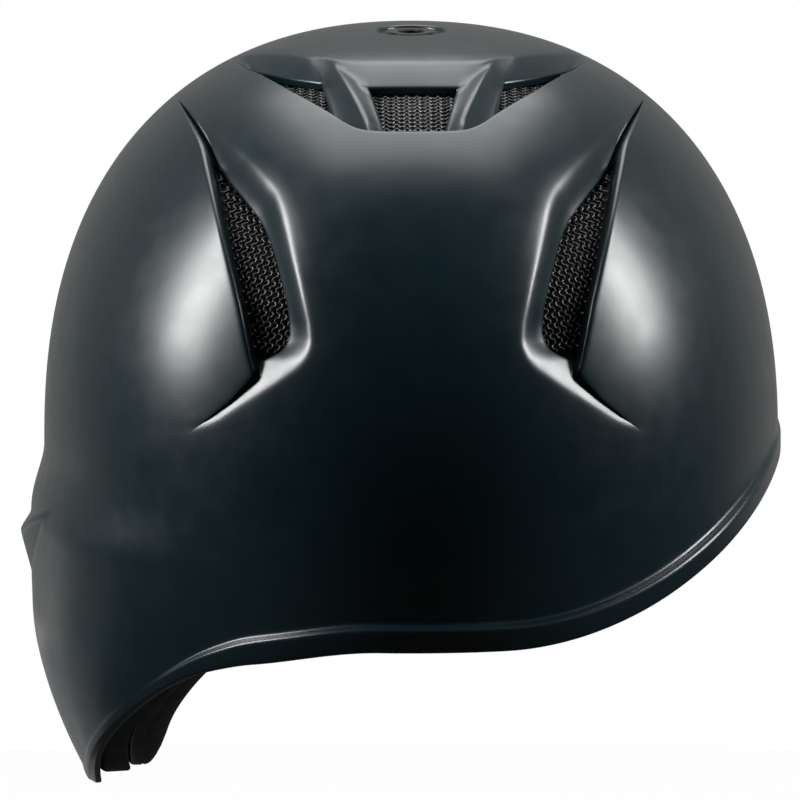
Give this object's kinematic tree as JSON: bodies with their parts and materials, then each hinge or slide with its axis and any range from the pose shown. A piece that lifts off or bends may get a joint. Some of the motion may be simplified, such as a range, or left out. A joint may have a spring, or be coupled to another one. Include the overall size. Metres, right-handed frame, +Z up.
{
  "type": "batting helmet",
  "caption": "Gloss black baseball batting helmet with a single ear flap, short brim, mesh-covered rear vents and pull-out padding.",
  "frame": {"origin": "middle of the head opening, level with the rim at the nape", "axes": "+Z up, brim towards -Y, ear flap on +X, which is the wearer's left"},
  "size_m": [0.2183, 0.2938, 0.2167],
  "materials": {
    "shell": "gloss",
    "vent_mesh": "knitted",
    "crown_eyelet": "gloss",
    "crown_eyelet_washer": "matte",
    "liner_foam": "closed-cell foam",
    "hook_tape": "hook tape",
    "loop_tape": "loop tape",
    "pad_fabric": "knitted fabric",
    "ear_cushion_cover": "matte synthetic leather"
  },
  "bodies": {
    "helmet": {"outer_shell": "shell", "left_rear_vent_mesh": "vent_mesh", "right_rear_vent_mesh": "vent_mesh", "centre_crown_vent_mesh": "vent_mesh", "left_crown_vent_mesh": "vent_mesh", "right_crown_vent_mesh": "vent_mesh", "crown_eyelet": "crown_eyelet", "crown_eyelet_washer": "crown_eyelet_washer", "front_liner": "liner_foam", "rear_liner": "liner_foam", "rear_upper_liner": "liner_foam", "left_liner": "liner_foam", "right_liner": "liner_foam", "crown_liner": "liner_foam", "ear_pad_base": "liner_foam", "liner_hook_patches": "hook_tape", "ear_hook_patches": "hook_tape"},
    "front_pad": {"front_pad": "pad_fabric", "front_loop_patches": "loop_tape"},
    "rear_pad": {"rear_pad": "pad_fabric", "rear_loop_patches": "loop_tape"},
    "left_pad": {"left_pad": "pad_fabric", "left_loop_patches": "loop_tape"},
    "right_pad": {"right_pad": "pad_fabric", "right_loop_patches": "loop_tape"},
    "crown_pad": {"crown_pad": "pad_fabric", "crown_loop_patches": "loop_tape"},
    "ear_cushion": {"ear_cushion": "ear_cushion_cover", "ear_loop_patches": "loop_tape"}
  },
  "joints": [
    {"name": "front_pad_pull", "type": "slide", "parent": "helmet", "child": "front_pad", "axis": [0, 1, 0], "range_m": [0, 0.015]},
    {"name": "rear_pad_pull", "type": "slide", "parent": "helmet", "child": "rear_pad", "axis": [0, -1, 0], "range_m": [0, 0.015]},
    {"name": "left_pad_pull", "type": "slide", "parent": "helmet", "child": "left_pad", "axis": [-1, 0, 0], "range_m": [0, 0.015]},
    {"name": "right_pad_pull", "type": "slide", "parent": "helmet", "child": "right_pad", "axis": [1, 0, 0], "range_m": [0, 0.015]},
    {"name": "crown_pad_pull", "type": "slide", "parent": "helmet", "child": "crown_pad", "axis": [0, 0, -1], "range_m": [0, 0.04]},
    {"name": "ear_cushion_pull", "type": "slide", "parent": "helmet", "child": "ear_cushion", "axis": [-1, 0, 0], "range_m": [0, 0.015]}
  ]
}
